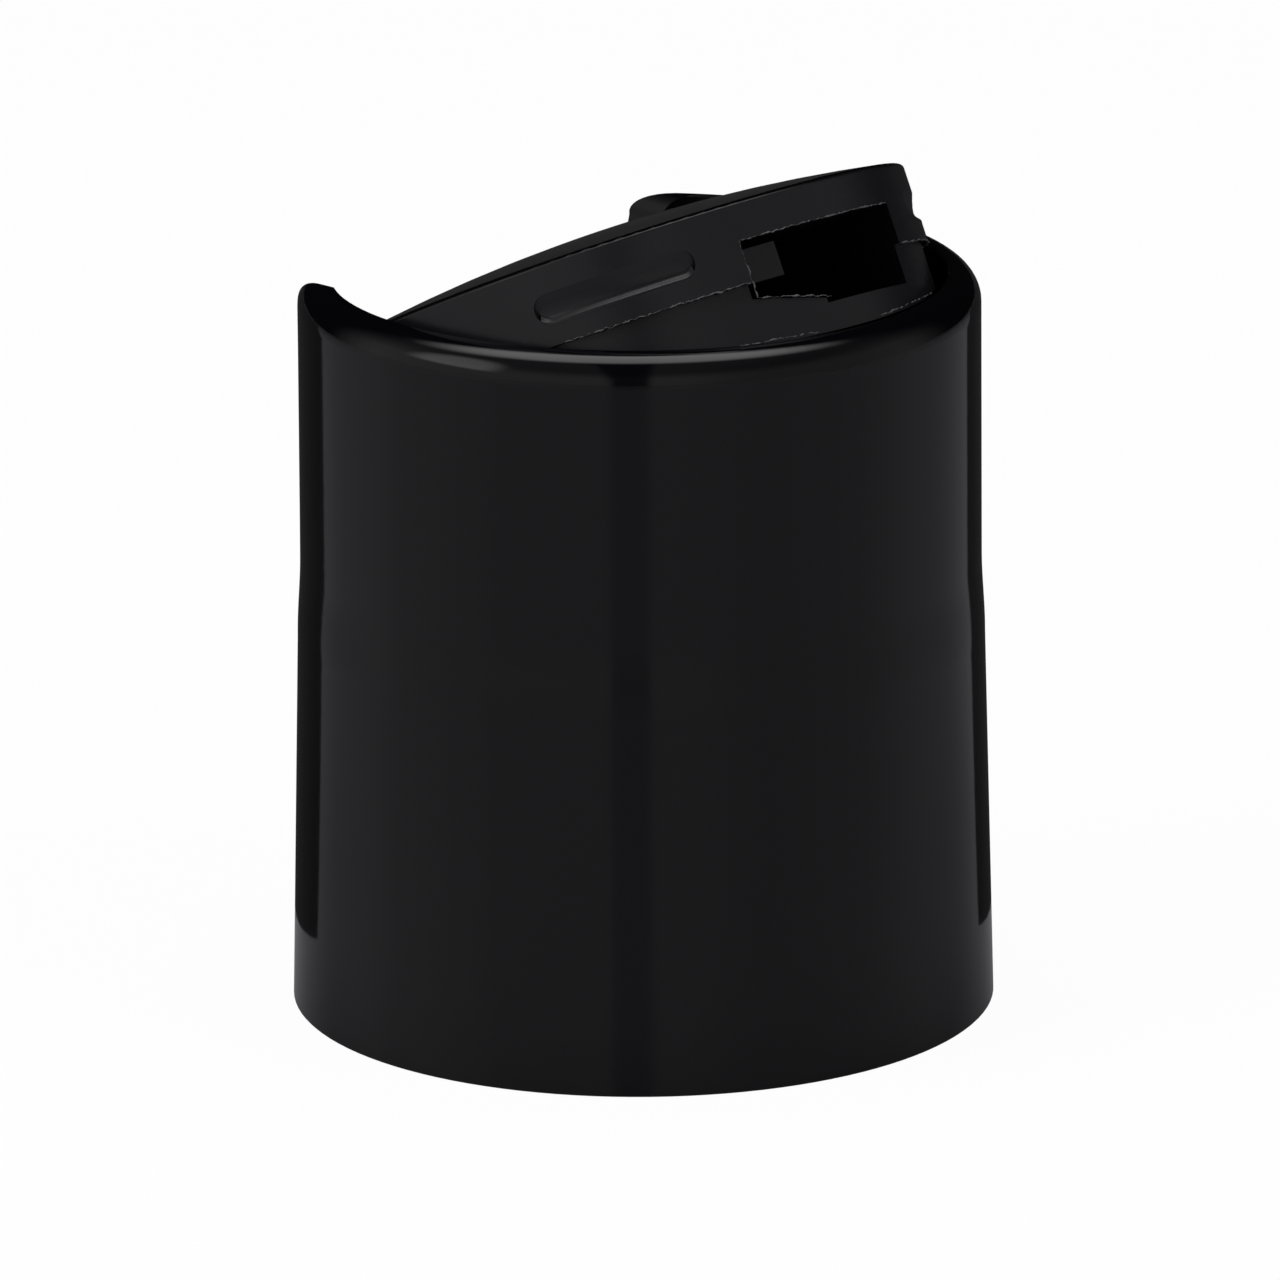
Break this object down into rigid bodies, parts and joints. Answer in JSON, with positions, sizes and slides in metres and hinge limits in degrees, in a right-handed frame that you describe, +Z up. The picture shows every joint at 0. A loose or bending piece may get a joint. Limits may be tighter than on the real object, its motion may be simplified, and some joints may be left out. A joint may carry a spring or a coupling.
{
  "type": "disc top cap",
  "caption": "Black moulded screw closure for a bottle neck, with a press disc that tilts in a round well to open a small front spout.",
  "frame": {"origin": "bottom centre of the skirt, on the plane the closure stands on", "axes": "+Z up along the neck axis, -Y towards the spout, +Y towards the finger notch, X along the disc's pivot"},
  "size_m": [0.0286, 0.0286, 0.0357],
  "materials": {
    "cap_body": "gloss black moulded plastic",
    "disc": "satin black moulded plastic"
  },
  "bodies": {
    "body": {"cap_body": "cap_body"},
    "disc": {"disc": "disc"}
  },
  "joints": [
    {"name": "disc_tilt", "type": "hinge", "parent": "body", "child": "disc", "pos_m": [0, 0.001, 0.02795], "axis": [1, 0, 0], "range_deg": [0, 25.4]}
  ]
}
